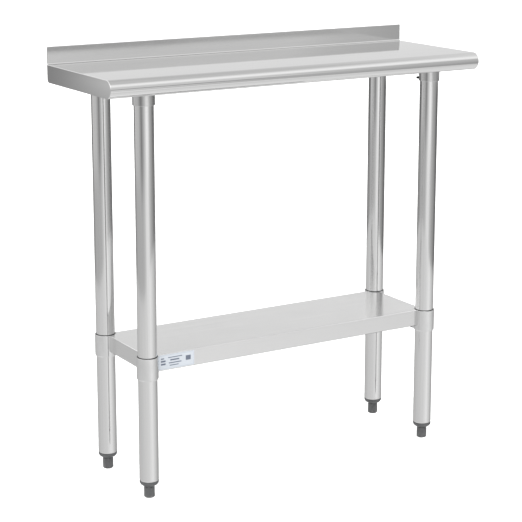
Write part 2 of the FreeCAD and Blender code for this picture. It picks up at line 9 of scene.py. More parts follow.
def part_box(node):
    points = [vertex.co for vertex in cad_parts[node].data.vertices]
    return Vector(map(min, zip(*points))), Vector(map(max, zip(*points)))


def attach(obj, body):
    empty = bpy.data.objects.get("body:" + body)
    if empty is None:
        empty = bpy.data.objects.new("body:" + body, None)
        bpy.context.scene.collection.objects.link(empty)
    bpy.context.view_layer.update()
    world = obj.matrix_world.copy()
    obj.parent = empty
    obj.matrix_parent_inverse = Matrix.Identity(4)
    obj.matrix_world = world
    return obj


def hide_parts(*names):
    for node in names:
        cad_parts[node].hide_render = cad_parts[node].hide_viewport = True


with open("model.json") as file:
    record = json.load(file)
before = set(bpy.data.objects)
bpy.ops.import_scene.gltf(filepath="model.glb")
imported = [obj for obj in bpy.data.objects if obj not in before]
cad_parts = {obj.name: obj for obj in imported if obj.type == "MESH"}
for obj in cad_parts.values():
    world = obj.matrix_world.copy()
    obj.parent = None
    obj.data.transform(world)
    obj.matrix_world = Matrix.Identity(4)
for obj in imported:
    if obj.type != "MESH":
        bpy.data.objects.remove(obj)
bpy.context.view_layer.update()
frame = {"nodes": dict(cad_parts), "record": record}

# A stainless work table. Lengths are in metres, in the frame's own axes: +X along the table,
# +Y to the upturn at the back, +Z up from the floor.

MM = 0.001
CORNERS = ("front_left", "front_right", "rear_left", "rear_right")
UP = Vector((0, 0, 1))

# ---------------------------------------------------------------- sizes read from the frame

TOP_LOW, TOP_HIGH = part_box("tabletop")
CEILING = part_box("end_channel_left")[1].z
MOUNTS = {mount["name"]: Vector(mount["pos_m"]) for mount in frame["record"]["mounts"]}
WORK_HEIGHT = MOUNTS["worktop_face"].z
SHEET = WORK_HEIGHT - CEILING
SHELF_LOW, SHELF_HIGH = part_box("undershelf")
SHELF_TOP = MOUNTS["shelf_face"].z
LEG_LOW, LEG_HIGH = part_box("leg_front_left")
LEG_RADIUS = (LEG_HIGH.x - LEG_LOW.x) / 2
COLLAR_RADIUS = (LEG_HIGH.x + LEG_LOW.x) / 2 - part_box("shelf_collar_front_left")[0].x

# ---------------------------------------------------------------- sizes as in the CAD's section

LEG_WALL = 1.2 * MM
SOCKET_BORE = LEG_RADIUS + 0.2 * MM
COLLAR_BORE = LEG_RADIUS + 0.3 * MM
STEM_HOLE = 5.05 * MM        # holes that the feet's stems go through
SCREW_HOLE = 3.05 * MM       # holes for the set screws
SCREW_HOLE_ENDS = (12 * MM, 30 * MM)   # how far from the leg's axis such a hole is cut
RETURN_LIP = 8.0 * MM        # return of the worktop's turned-down edges
REAR_BEND = 8.0 * MM         # outside radius of the bend under its rear edge

# ---------------------------------------------------------------- sizes of the finish

END_ROUNDING = 1.1 * MM      # folded edges at the worktop's ends, less than the sheet
CREASE = 3.0 * MM            # inner bend between the worktop and its upturn
RIM = 1.4 * MM               # the narrow neck at a collar's upper end, its top painted dark as shade
ROUND_COUNT = 96             # points round a turned piece
SCREW_HOLE_COUNT = 30        # points round a socket screw's hole, none in line with the cup's own
COLLAR_HOLE_COUNT = 32       # points round a collar screw's hole
SHELF_CUT_COUNT = 90         # points round the shelf's corner cuts, none on its diagonals
FASTENER_COUNT = 20          # points round a stud or a bolt
SMOOTH_ANGLE = math.radians(32)

# ---------------------------------------------------------------- the studio

HEADING_ANGLE = math.radians(31.13)
HEADING = Vector((math.sin(HEADING_ANGLE), math.cos(HEADING_ANGLE)))   # the camera looks this way
CAMERA_PITCH = math.radians(12.14)
CAMERA_PLACE = (-1.8585, -3.0424, 1.3346)
CAMERA_LENS = 113.47
FLOOR_RADIUS = 14.0
FOOT_TRAVEL = 20.0 * MM      # how far down the levelling feet can be screwed


# ================================================================ mesh building


class Shape:
    """Vertices and faces gathered from one or more closed surfaces."""

    def __init__(self):
        self.vertices = []
        self.faces = []

    def add(self, surface, matrix=Matrix.Identity(4)):
        vertices, faces = surface
        first = len(self.vertices)
        self.vertices += [matrix @ Vector(point) for point in vertices]
        self.faces += [[first + number for number in face] for face in faces]
        return self


def loft(rings, closed=False):
    """The surface through rings of equally many points, capped at both ends unless closed."""
    count = len(rings[0])
    vertices = [point for ring in rings for point in ring]
    faces = []
    for index in range(len(rings) if closed else len(rings) - 1):
        low = index * count
        high = (index + 1) % len(rings) * count
        for here in range(count):
            there = (here + 1) % count
            faces.append((low + here, low + there, high + there, high + here))
    if not closed:
        last = (len(rings) - 1) * count
        faces.append(tuple(reversed(range(count))))
        faces.append(tuple(range(last, last + count)))
    return vertices, faces


def round_corners(corners):
    """A closed outline from corners (x, y), or (x, y, radius, steps) where it is rounded."""
    outline = []
    for index, corner in enumerate(corners):
        here = Vector(corner[:2])
        if len(corner) == 2:
            outline.append(here)
            continue
        radius, steps = corner[2:]
        before = (Vector(corners[index - 1][:2]) - here).normalized()
        after = (Vector(corners[(index + 1) % len(corners)][:2]) - here).normalized()
        half = before.angle(after) / 2
        centre = here + (before + after).normalized() * (radius / math.sin(half))
        start = here + before * (radius / math.tan(half)) - centre
        end = here + after * (radius / math.tan(half)) - centre
        first = math.atan2(start.y, start.x)
        sweep = (math.atan2(end.y, end.x) - first + math.pi) % (2 * math.pi) - math.pi
        for step in range(steps + 1):
            angle = first + sweep * step / steps
            outline.append(centre + radius * Vector((math.cos(angle), math.sin(angle))))
    shortest = 1e-7
    return [point for index, point in enumerate(outline) if (point - outline[index - 1]).length > shortest]


def ring(radius, z, count=ROUND_COUNT, apothem=None):
    """Points of a circle at height z, or of a hexagon cut to that circle where apothem is given."""
    points = []
    for index in range(count):
        angle = 2 * math.pi * index / count
        reach = radius
        if apothem is not None:
            from_flat = (angle + math.pi / 6) % (math.pi / 3) - math.pi / 6
            reach = min(radius, apothem / math.cos(from_flat))
        points.append(Vector((reach * math.cos(angle), reach * math.sin(angle), z)))
    return points


def turned(corners, count=ROUND_COUNT):
    """A ring-shaped surface: a closed outline of (radius, z) corners turned round Z."""
    return loft([ring(point.x, point.y, count) for point in round_corners(corners)], closed=True)


def swept(outline, ends, axis):
    """A closed outline pushed along X or Y between two ends."""
    if axis == "X":
        return loft([[Vector((end, point.x, point.y)) for point in outline] for end in ends])
    return loft([[Vector((point.x, end, point.y)) for point in outline] for end in ends])


def block(low, high):
    """A plain box between two corners, used as a cutting tool."""
    outline = [Vector((low[0], low[1])), Vector((high[0], low[1])),
               Vector((high[0], high[1])), Vector((low[0], high[1]))]
    return loft([[Vector((p.x, p.y, z)) for p in outline] for z in (low[2], high[2])])


def moved(surface, matrix):
    """The surface with its vertices moved by a matrix."""
    return [matrix @ point for point in surface[0]], surface[1]


def rod(radius, start, end, count):
    """A plain cylinder from start to end, used as a cutting tool."""
    start, end = Vector(start), Vector(end)
    turn = UP.rotation_difference(end - start).to_matrix().to_4x4()
    turn.translation = start
    return moved(loft([ring(radius, 0, count), ring(radius, (end - start).length, count)]), turn)


def new_object(name, shape):
    """An object in the scene with the shape as its mesh, its faces turned outward."""
    mesh = bpy.data.meshes.new(name)
    mesh.from_pydata(shape.vertices, [], shape.faces)
    mesh.validate()
    edit = bmesh.new()
    edit.from_mesh(mesh)
    bmesh.ops.recalc_face_normals(edit, faces=edit.faces)
    edit.to_mesh(mesh)
    edit.free()
    made = bpy.data.objects.new(name, mesh)
    bpy.context.scene.collection.objects.link(made)
    return made


def apply_modifiers(thing):
    """Replaces the object's mesh with what its modifiers make of it."""
    bpy.context.view_layer.update()
    evaluated = thing.evaluated_get(bpy.context.evaluated_depsgraph_get())
    mesh = bpy.data.meshes.new_from_object(evaluated)
    thing.modifiers.clear()
    old, thing.data = thing.data, mesh
    mesh.name = thing.name
    bpy.data.meshes.remove(old)


def combine(thing, surface, operation="DIFFERENCE"):
    """Cuts a surface out of an object, or joins it on, as solids."""
    tool = new_object("tool", Shape().add(surface))
    modifier = thing.modifiers.new("combine", "BOOLEAN")
    modifier.operation = operation
    modifier.solver = "EXACT"
    modifier.object = tool
    apply_modifiers(thing)
    bpy.data.meshes.remove(tool.data)


def finish_piece(thing, body, material, nodes):
    """Smooth shading, the material, and the piece's place in the frame."""
    thing.data.materials.clear()
    thing.data.materials.append(material)
    thing.data.shade_smooth()
    thing.data.set_sharp_from_angle(angle=SMOOTH_ANGLE)
    normals = thing.modifiers.new("normals", "WEIGHTED_NORMAL")
    normals.keep_sharp = True
    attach(thing, body)
    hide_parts(*nodes)


def corner_signs(corner):
    """A leg's side of the table in X and Y, as -1 or 1."""
    return (-1 if "left" in corner else 1, -1 if "front" in corner else 1)


def corner_matrix(corner):
    """Moves a piece made round Z onto its leg's axis, its +X+Y diagonal turned inward."""
    side, end = corner_signs(corner)
    low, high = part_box(f"leg_{corner}")
    middle = (low + high) / 2
    quarter = {(-1, -1): 0, (1, -1): 1, (1, 1): 2, (-1, 1): 3}[side, end]
    return Matrix.Translation((middle.x, middle.y, 0)) @ Matrix.Rotation(quarter * math.pi / 2, 4, "Z")


# ================================================================ materials


class Nodes:
    """A node tree that is filled in one node at a time."""

    def __init__(self, tree):
        self.tree = tree

    def node(self, kind, inputs=None, **settings):
        made = self.tree.nodes.new(kind)
        for key, value in settings.items():
            setattr(made, key, value)
        for key, value in (inputs or {}).items():
            if isinstance(value, bpy.types.NodeSocket):
                self.tree.links.new(value, made.inputs[key])
            else:
                made.inputs[key].default_value = value
        return made

    def math(self, operation, first, second=0.0):
        return self.node("ShaderNodeMath", {0: first, 1: second}, operation=operation).outputs[0]

    def spread(self, value, low, high, start=0.0, end=1.0, curve="LINEAR"):
        """value, taken from start..end to low..high."""
        made = self.node(
            "ShaderNodeMapRange",
            {"Value": value, "From Min": start, "From Max": end, "To Min": low, "To Max": high},
            interpolation_type=curve,
        )
        return made.outputs["Result"]

    def tint(self, factor, dark, light):
        """A colour between two, by factor."""
        made = self.node("ShaderNodeMix", {"Factor": factor}, data_type="RGBA")
        for socket, colour in ((made.inputs[6], dark), (made.inputs[7], light)):
            if isinstance(colour, bpy.types.NodeSocket):
                self.tree.links.new(colour, socket)
            else:
                socket.default_value = (*colour, 1)
        return made.outputs[2]

    def ramp(self, value, stops):
        """A grey by value from 0 to 1: stops are (value, brightness)."""
        made = self.node("ShaderNodeValToRGB", {"Fac": value})
        made.color_ramp.interpolation = "EASE"
        elements = made.color_ramp.elements
        while len(elements) < len(stops):
            elements.new(0.5)
        for element, (place, brightness) in zip(elements, stops):
            element.position = place
            element.color = (*grey(brightness), 1)
        return made.outputs["Color"]


class Surface(Nodes):
    """A material that ends in its Principled shader."""

    def __init__(self, name, **uniform):
        self.material = bpy.data.materials.new(name)
        self.material.use_nodes = True
        super().__init__(self.material.node_tree)
        self.shader = self.tree.nodes["Principled BSDF"]
        for socket, value in uniform.items():
            self.shader.inputs[socket.replace("_", " ")].default_value = value
        self.place = self.node("ShaderNodeTexCoord").outputs["Object"]

    def set(self, socket, value):
        """Links a value to one of the shader's inputs."""
        self.tree.links.new(value, self.shader.inputs[socket])

    def stretched(self, scale):
        """The object's own coordinates, times a scale for each axis."""
        made = self.node("ShaderNodeVectorMath", {0: self.place, 1: scale}, operation="MULTIPLY")
        return made.outputs["Vector"]

    def noise(self, scale, detail=2.0, roughness=0.5, distortion=0.0):
        """Noise of so many features per metre along each axis, from 0 to 1."""
        made = self.node(
            "ShaderNodeTexNoise",
            {"Vector": self.stretched(scale), "Scale": 1.0, "Detail": detail,
             "Roughness": roughness, "Distortion": distortion},
        )
        return made.outputs["Fac"]

    def cells(self, scale):
        """A mosaic of so many cells per metre along each axis."""
        return self.node("ShaderNodeTexVoronoi", {"Vector": self.stretched(scale), "Scale": 1.0})

    def bump(self, height, distance, strength, below=None):
        """The surface's direction with relief of a height times a distance, over another relief."""
        inputs = {"Height": height, "Distance": distance, "Strength": strength}
        if below is not None:
            inputs["Normal"] = below
        return self.node("ShaderNodeBump", inputs).outputs["Normal"]

    def end_face(self):
        """1 where the surface faces along the grain, as on a folded end, and 0 elsewhere."""
        along_grain = self.node(
            "ShaderNodeVectorMath", {0: self.facing(), 1: self.grain}, operation="DOT_PRODUCT"
        )
        return self.spread(self.math("ABSOLUTE", along_grain.outputs["Value"]), 0, 1, 0.70, 0.75)

    def band(self, value, low, high, blur=0.02):
        """1 where value is between low and high, 0 elsewhere."""
        rise = self.spread(value, 0, 1, low - blur, low + blur)
        fall = self.spread(value, 1, 0, high - blur, high + blur)
        return self.math("MULTIPLY", rise, fall)

    def facing(self):
        """The surface's own direction."""
        return self.node("ShaderNodeNewGeometry").outputs["Normal"]

    def bowed(self, lean):
        """The surface's direction; level stretches lean forward by 0 at the back to lean at the front."""
        upward = self.node("ShaderNodeSeparateXYZ", {"Vector": self.facing()}).outputs["Z"]
        depth = self.node("ShaderNodeSeparateXYZ", {"Vector": self.place}).outputs["Y"]
        forward = self.math(
            "MULTIPLY", self.spread(upward, 0, 1, 0.990, 0.9999),
            self.spread(depth, 0, -lean, TOP_HIGH.y, TOP_LOW.y),
        )
        tilt = self.node("ShaderNodeCombineXYZ", {"Y": forward}).outputs["Vector"]
        leaning = self.node("ShaderNodeVectorMath", {0: self.facing(), 1: tilt}, operation="ADD")
        return self.node(
            "ShaderNodeVectorMath", {0: leaning.outputs["Vector"]}, operation="NORMALIZE"
        ).outputs["Vector"]

    def grained(self, fine, slow, detail):
        """Noise drawn out along the grain, and across it on the folded ends."""
        turned_grain = (self.grain[1], self.grain[0], self.grain[2])
        sides = self.noise(along(self.grain, fine, slow), detail=detail)
        ends = self.noise(along(turned_grain, fine, slow), detail=detail)
        inputs = {"Factor": self.end_face(), 2: sides, 3: ends}
        mixed = self.node("ShaderNodeMix", inputs, data_type="FLOAT")
        return mixed.outputs[0]

    def grain_tangent(self):
        """The direction across the grain, in the surface."""
        tilted = tuple(axis + 0.02 * (index + 1) for index, axis in enumerate(self.grain))
        across = self.node(
            "ShaderNodeVectorMath", {0: self.facing(), 1: tilted}, operation="CROSS_PRODUCT"
        )
        return self.node(
            "ShaderNodeVectorMath", {0: across.outputs["Vector"]}, operation="NORMALIZE"
        ).outputs["Vector"]


def grey(value, warmth=0.0):
    """A grey, a little warmer or, below zero, a little cooler."""
    return (value * (1 + warmth), value, value * (1 - warmth))


def along(grain, fine, slow):
    """Features per metre: slow along the grain's axis and fine across it."""
    return tuple(slow if axis else fine for axis in grain)


def brushed_steel(name, grain, tone, roughness, anisotropy=0.0, streak=0.03, relief=1.0, smudge=0.03,
                  edges=False, bow=0.0):
    """Steel with a grain along one axis: fine lines, wider streaks, faint smudges.

    With edges, its upward-facing folds get a painted highlight and its downward-facing ones a painted shade.
    With bow, the sheet
    is not quite flat: its reflections curve forward as if it fell a little towards the front.
    """
    made = Surface(name, Metallic=1.0, Anisotropic=anisotropy)
    made.grain = grain
    hair = made.grained(2600, 14, detail=3)
    lines = made.grained(700, 5, detail=3)
    bands = made.grained(110, 1.6, detail=2)
    clouds = made.noise((7, 7, 7), detail=3, distortion=0.6)
    mixed = made.math("ADD", made.math("MULTIPLY", lines, 0.6), made.math("MULTIPLY", bands, 0.4))
    shade = made.spread(mixed, 0, 1, 0.3, 0.7)
    colour = made.tint(shade, grey(tone - streak), grey(tone + streak, 0.004))
    if edges:
        # Painted highlight and painted shade: folds facing up get a near-white base colour, folds facing down
        # a dark grey one.
        upward = made.node("ShaderNodeSeparateXYZ", {"Vector": made.facing()}).outputs["Z"]
        wear_and_painted_highlight = made.band(upward, 0.20, 0.97)
        painted_shade_mask = made.band(made.math("MULTIPLY", upward, -1.0), 0.20, 0.97)
        colour = made.tint(wear_and_painted_highlight, colour, grey(0.98))
        colour = made.tint(painted_shade_mask, colour, grey(0.30))
    made.set("Base Color", colour)
    rough = made.spread(mixed, roughness * 1.2, roughness * 0.85, 0.3, 0.7)
    smudged = made.spread(clouds, 0, smudge, 0.48, 0.7)
    made.set("Roughness", made.math("ADD", rough, smudged))
    height = made.math("ADD", made.math("MULTIPLY", hair, 0.35), lines)
    made.set("Normal", made.bump(height, 0.00001 * relief, 0.35, made.bowed(bow) if bow else None))
    if anisotropy:
        made.set("Tangent", made.grain_tangent())
    return made.material


def galvanised(name):
    """Zinc-coated sheet: a mosaic of spangles, each a little lighter or darker."""
    made = Surface(name, Metallic=1.0)
    crystals = made.cells((140, 140, 140))
    small = made.cells((420, 420, 420))
    own = made.node("ShaderNodeSeparateColor", {"Color": crystals.outputs["Color"]}).outputs[0]
    fine = made.node("ShaderNodeSeparateColor", {"Color": small.outputs["Color"]}).outputs[1]
    mixed = made.math("ADD", made.math("MULTIPLY", own, 0.7), made.math("MULTIPLY", fine, 0.3))
    dull = made.noise((25, 25, 25), detail=4)
    shade = made.math("MULTIPLY", mixed, made.spread(dull, 0.7, 1.1, 0.35, 0.65))
    made.set("Base Color", made.tint(shade, grey(0.46, -0.02), grey(0.66, -0.012)))
    made.set("Roughness", made.spread(mixed, 0.52, 0.34))
    made.set("Normal", made.bump(dull, 0.0001, 0.4, made.bump(own, 0.00002, 0.5)))
    return made.material


def zinc_plated(name):
    """Bright zinc on fasteners, with a faint uneven film."""
    made = Surface(name, Metallic=1.0)
    film = made.noise((260, 260, 260), detail=3)
    scratches = made.noise((2400, 2400, 300), detail=2)
    shade = made.spread(film, 0, 1, 0.35, 0.65)
    made.set("Base Color", made.tint(shade, (0.56, 0.58, 0.61), (0.70, 0.70, 0.67)))
    made.set("Roughness", made.spread(film, 0.42, 0.26, 0.3, 0.7))
    made.set("Normal", made.bump(scratches, 0.00002, 0.5))
    return made.material


def black_oxide(name):
    """Blackened steel, rubbed to grey in places."""
    made = Surface(name, Metallic=0.85)
    wear_and_painted_highlight = made.noise((900, 900, 900), detail=4, roughness=0.6)
    made.set("Base Color", made.tint(made.spread(wear_and_painted_highlight, 0, 1, 0.55, 0.8), grey(0.018), grey(0.11)))
    made.set("Roughness", made.spread(wear_and_painted_highlight, 0.5, 0.34, 0.35, 0.7))
    made.set("Normal", made.bump(wear_and_painted_highlight, 0.00002, 0.6))
    return made.material


def moulded_plastic(name):
    """Dark grey plastic with a fine moulded texture, scuffed and dusty near the floor."""
    made = Surface(name, Specular_IOR_Level=0.45)
    pores = made.noise((3800, 3800, 3800), detail=2)
    patches = made.noise((180, 180, 180), detail=4)
    height = made.node("ShaderNodeSeparateXYZ", {"Vector": made.place}).outputs["Z"]
    near_floor = made.spread(height, 1, 0, 0.0, 0.012, "SMOOTHSTEP")
    dust = made.math("MULTIPLY", near_floor, made.spread(patches, 0, 1, 0.45, 0.7))
    base = made.tint(made.spread(patches, 0, 1, 0.3, 0.7), grey(0.058, -0.02), grey(0.085, -0.02))
    made.set("Base Color", made.tint(made.math("MULTIPLY", dust, 0.5), base, grey(0.18, 0.02)))
    made.set("Roughness", made.spread(patches, 0.38, 0.52, 0.3, 0.7))
    made.set("Normal", made.bump(pores, 0.00005, 0.35))
    return made.material


def cast_metal(name, tone, roughness, neck):
    """A cast and polished fitting: soft mottling, faint pits, and painted shade, near black, above the height
    neck.
    """
    made = Surface(name, Metallic=1.0)
    mottle = made.noise((60, 60, 35), detail=3)
    pits = made.noise((1900, 1900, 1900), detail=2)
    height = made.node("ShaderNodeSeparateXYZ", {"Vector": made.place}).outputs["Z"]
    polished = made.tint(made.spread(mottle, 0, 1, 0.3, 0.7), grey(tone - 0.02), grey(tone + 0.02))
    # Painted shade: above the height neck the collar's top is painted near black, standing in for the shadow
    # in the gap round the leg.
    painted_shade_colour = made.tint(pits, grey(0.02), grey(0.06))
    painted_shade_mask = made.spread(height, 0, 1, neck - 0.1 * MM, neck + 0.1 * MM)
    made.set("Base Color", made.tint(painted_shade_mask, polished, painted_shade_colour))
    made.set("Roughness", made.spread(mottle, roughness * 1.2, roughness * 0.85, 0.3, 0.7))
    made.set("Normal", made.bump(pits, 0.00001, 0.3))
    return made.material


def printed_film(name):
    """Pale film printed with a border and plain bars; it carries no words or marks."""
    made = Surface(name, Coat_Weight=0.4, Coat_Roughness=0.12, Roughness=0.42)
    place = made.node("ShaderNodeTexCoord").outputs["Generated"]
    split = made.node("ShaderNodeSeparateXYZ", {"Vector": place})
    across, height = split.outputs["X"], split.outputs["Z"]

    def bar(left, low, right, high):
        wide = made.band(across, left, right, 0.004)
        return made.math("MULTIPLY", wide, made.band(height, low, high, 0.012))

    print_bars = [
        (0.07, 0.30, 0.20, 0.42), (0.07, 0.50, 0.20, 0.62), (0.07, 0.70, 0.16, 0.78),
        (0.27, 0.74, 0.66, 0.80), (0.33, 0.54, 0.58, 0.64), (0.29, 0.36, 0.64, 0.43),
        (0.31, 0.20, 0.56, 0.26), (0.76, 0.40, 0.90, 0.72),
    ]
    ink = bar(*print_bars[0])
    for bounds in print_bars[1:]:
        ink = made.math("MAXIMUM", ink, bar(*bounds))
    frame_line = made.math("SUBTRACT", bar(0.02, 0.05, 0.98, 0.95), bar(0.03, 0.08, 0.97, 0.92))
    mottle = made.noise((900, 900, 900), detail=2)
    film = made.tint(mottle, (0.39, 0.42, 0.455), (0.43, 0.455, 0.49))
    bordered = made.tint(made.math("MULTIPLY", frame_line, 0.35), film, (0.18, 0.22, 0.28))
    made.set("Base Color", made.tint(made.math("MULTIPLY", ink, 0.85), bordered, (0.035, 0.05, 0.09)))
    made.set("Normal", made.bump(mottle, 0.00003, 0.3))
    return made.material


def floor_finish(name):
    """A pale studio floor, very slightly uneven."""
    made = Surface(name, Specular_IOR_Level=0.1)
    mottle = made.noise((3, 3, 3), detail=5)
    made.set("Base Color", made.tint(mottle, grey(0.93), grey(0.96)))
    made.set("Roughness", made.spread(mottle, 0.75, 0.9))
    made.set("Normal", made.bump(mottle, 0.0002, 0.1))
    return made.material


WORKTOP_STEEL = brushed_steel(
    "worktop_brushed", (1, 0, 0), 0.80, 0.055, anisotropy=0.4, streak=0.022, relief=0.6,
    smudge=0.02, bow=0.070,
)
LEG_STEEL = brushed_steel("leg_drawn", (0, 0, 1), 0.79, 0.10, anisotropy=0.3, streak=0.03, smudge=0.02)
SOCKET_STEEL = brushed_steel("socket_turned", (0, 0, 1), 0.70, 0.14, streak=0.02)
# The shelf's upper folds carry a painted highlight and its lower folds a painted shade.
SHELF_STEEL = brushed_steel("shelf_satin", (1, 0, 0), 0.78, 0.18, anisotropy=0.4, streak=0.012, edges=True)
# The collar's top 1.15 mm is painted near black as shade in the gap round the leg.
COLLAR_METAL = cast_metal("collar_cast", 0.78, 0.15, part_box("shelf_collar_front_left")[1].z - 1.15 * MM)
CHANNEL_ZINC = galvanised("channel_spangle")
FASTENER_ZINC = zinc_plated("fastener_zinc")
SCREW_BLACK = black_oxide("screw_black")
FOOT_PLASTIC = moulded_plastic("foot_moulded")
LABEL_FILM = printed_film("label_film")


# ================================================================ pieces


def worktop_outline(inset):
    """The worktop's section (y, z), with every side moved inward by inset."""
    front, back = TOP_LOW.y + inset, TOP_HIGH.y - inset
    low, top = TOP_LOW.z + inset, WORK_HEIGHT - inset
    crown = TOP_HIGH.z - inset
    face = TOP_HIGH.y - 2 * SHEET + inset
    roll = (WORK_HEIGHT - TOP_LOW.z) / 2 - inset
    return round_corners([
        (back, low, REAR_BEND - inset, 8),
        (back, crown, SHEET - inset, 5),
        (face, crown, SHEET - inset, 5),
        (face, top, CREASE + inset, 8),
        (front, top, roll, 26),
        (front, low, roll, 26),
    ])


def make_worktop():
    """The rolled sheet: a solid prism with softly rounded ends, hollowed from below."""
    half = TOP_HIGH.x
    steps = 5
    rings = []
    for step in range(steps + 1):
        angle = math.pi / 2 * step / steps
        end = half - END_ROUNDING * (1 - math.sin(angle))
        outline = worktop_outline(END_ROUNDING * (1 - math.cos(angle)))
        rings.append([Vector((end, point.x, point.y)) for point in outline])
    mirrored = [[Vector((-p.x, p.y, p.z)) for p in points] for points in reversed(rings)]
    top = new_object("worktop", Shape().add(loft(mirrored + rings)))

    roll = (WORK_HEIGHT - TOP_LOW.z) / 2 - SHEET
    front, back = TOP_LOW.y + SHEET, TOP_HIGH.y - SHEET
    low, ceiling = TOP_LOW.z + SHEET, CEILING
    cavity = round_corners([
        (back, low, REAR_BEND - SHEET, 6), (back, ceiling),
        (front, ceiling, roll, 20), (front, low, roll, 20),
    ])
    combine(top, swept(cavity, (-half + SHEET, half - SHEET), "X"))
    reach = half - SHEET - RETURN_LIP
    opening_front = TOP_LOW.y + (WORK_HEIGHT - TOP_LOW.z) / 2 + RETURN_LIP
    opening_back = TOP_HIGH.y - REAR_BEND - RETURN_LIP
    depth = 5 * MM
    opening_low = (-reach, opening_front, TOP_LOW.z - depth)
    combine(top, block(opening_low, (reach, opening_back, TOP_LOW.z + depth)))
    finish_piece(top, "table", WORKTOP_STEEL, ["tabletop"])


def rectangle(half_x, half_y, z, radius=0.0, steps=4):
    """A rectangle's corners at height z, rounded where radius is given."""
    corners = [(half_x, -half_y), (half_x, half_y), (-half_x, half_y), (-half_x, -half_y)]
    if radius:
        corners = [(*corner, radius, steps) for corner in corners]
    return [Vector((point.x, point.y, z)) for point in round_corners(corners)]


def make_undershelf():
    """An upside-down tray of sheet, its corners cut round the collars."""
    x, y = SHELF_HIGH.x, SHELF_HIGH.y
    bend, inner_bend, lip = 1.5 * MM, 0.4 * MM, 10 * MM
    inward = -30 * MM
    section = round_corners([
        (inward, SHELF_TOP), (0, SHELF_TOP, bend, 5), (0, SHELF_LOW.z, bend, 5),
        (-SHEET - lip, SHELF_LOW.z), (-SHEET - lip, SHELF_LOW.z + SHEET),
        (-SHEET, SHELF_LOW.z + SHEET, inner_bend, 2), (-SHEET, SHELF_TOP - SHEET, inner_bend, 2),
        (inward, SHELF_TOP - SHEET),
    ])
    tray = new_object("undershelf_tray", Shape().add(
        loft([rectangle(x + point.x, y + point.x, point.y) for point in section])
    ))
    clearance = COLLAR_RADIUS + 0.15 * MM
    past = 10 * MM
    for corner in CORNERS:
        middle = corner_matrix(corner).translation
        start, end = middle + UP * (SHELF_LOW.z - past), middle + UP * (SHELF_TOP + past)
        combine(tray, rod(clearance, start, end, SHELF_CUT_COUNT))
    finish_piece(tray, "undershelf", SHELF_STEEL, ["undershelf"])


def make_leg(corner):
    """A tube, its cut end rolled in a little where the insert sits."""
    wall, low, high = LEG_WALL, LEG_LOW.z, LEG_HIGH.z
    outline = [
        (LEG_RADIUS - wall, low + 0.2 * MM), (LEG_RADIUS - 0.9 * MM, low, 0.3 * MM, 3),
        (LEG_RADIUS, low + 2.6 * MM, 2.2 * MM, 5), (LEG_RADIUS, high, 0.3 * MM, 3),
        (LEG_RADIUS - wall, high, 0.3 * MM, 3),
    ]
    leg = new_object(f"tube_{corner}", Shape().add(turned(outline), corner_matrix(corner)))
    finish_piece(leg, "table", LEG_STEEL, [f"leg_{corner}"])


def make_socket(corner):
    """A cup welded under a square plate, with its set screw's hole."""
    low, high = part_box(f"leg_socket_{corner}")
    half = (high.x - low.x) / 2
    thickness, outer, bore = 3 * MM, COLLAR_RADIUS, SOCKET_BORE
    edge, plate_corner = 0.5 * MM, 8 * MM
    plate_low = high.z - thickness
    plate = loft([
        rectangle(half - edge, half - edge, plate_low, plate_corner - edge),
        rectangle(half, half, plate_low + edge, plate_corner),
        rectangle(half, half, high.z - edge, plate_corner),
        rectangle(half - edge, half - edge, high.z, plate_corner - edge),
    ])
    matrix = corner_matrix(corner)
    socket = new_object(f"socket_{corner}", Shape().add(plate, matrix))
    weld = 2.0 * MM
    weld_low, weld_outer = plate_low - 0.4 * MM, outer + weld + 0.6 * MM
    cup = [
        (bore, low.z, 0.5 * MM, 3), (outer, low.z, 0.8 * MM, 4),
        (outer, weld_low, weld, 5), (weld_outer, weld_low, 0.2 * MM, 2),
        (weld_outer, plate_low + edge), (bore, plate_low + edge),
    ]
    combine(socket, moved(turned(cup), matrix), "UNION")
    middle = matrix.translation
    inward = matrix.to_3x3() @ Vector((1, 1, 0)).normalized()
    screw_low, screw_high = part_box("socket_set_screws")
    level = middle + UP * (screw_low.z + screw_high.z) / 2
    start, end = (level + inward * distance for distance in SCREW_HOLE_ENDS)
    combine(socket, rod(SCREW_HOLE, start, end, SCREW_HOLE_COUNT))
    finish_piece(socket, "table", SOCKET_STEEL, [f"leg_socket_{corner}"])


def make_collar(corner):
    """A cast collar: a ring round the leg, a set screw's boss and two ears behind the shelf's edges."""
    node = f"shelf_collar_{corner}"
    low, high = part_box(node)
    matrix = corner_matrix(corner)
    outer, bore = COLLAR_RADIUS, COLLAR_BORE
    outline = [
        (bore, low.z, 0.2 * MM, 2), (outer - 1.6 * MM, low.z, 0.8 * MM, 4),
        (outer, low.z + 2.4 * MM, 1.8 * MM, 5), (outer, high.z - RIM, 0.8 * MM, 4),
        (bore + 1.2 * MM, high.z - RIM + 0.2 * MM), (bore + 1.2 * MM, high.z, 0.4 * MM, 3),
        (bore, high.z, 0.2 * MM, 2),
    ]
    collar = new_object(f"collar_{corner}", Shape().add(turned(outline)))
    screw_low, screw_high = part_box("collar_set_screws")
    level = (screw_low.z + screw_high.z) / 2
    inward = Vector((1, 1, 0)).normalized()
    wall_middle = (outer + bore) / 2
    boss_end, boss_radius = outer + 3.2 * MM, 5.4 * MM
    combine(collar, make_boss(inward, wall_middle, boss_end, boss_radius, level), "UNION")
    ear_low, ear_high = SHELF_LOW.z + 2 * SHEET, SHELF_TOP - SHEET
    reach, thickness = 48 * MM, 3 * MM
    combine(collar, block((wall_middle, SHEET, ear_low), (reach, SHEET + thickness, ear_high)), "UNION")
    combine(collar, block((SHEET, wall_middle, ear_low), (SHEET + thickness, reach, ear_high)), "UNION")
    start, end = (inward * distance + UP * level for distance in SCREW_HOLE_ENDS)
    combine(collar, rod(SCREW_HOLE, start, end, COLLAR_HOLE_COUNT))
    collar.data.transform(matrix)
    finish_piece(collar, "undershelf", COLLAR_METAL, [node])


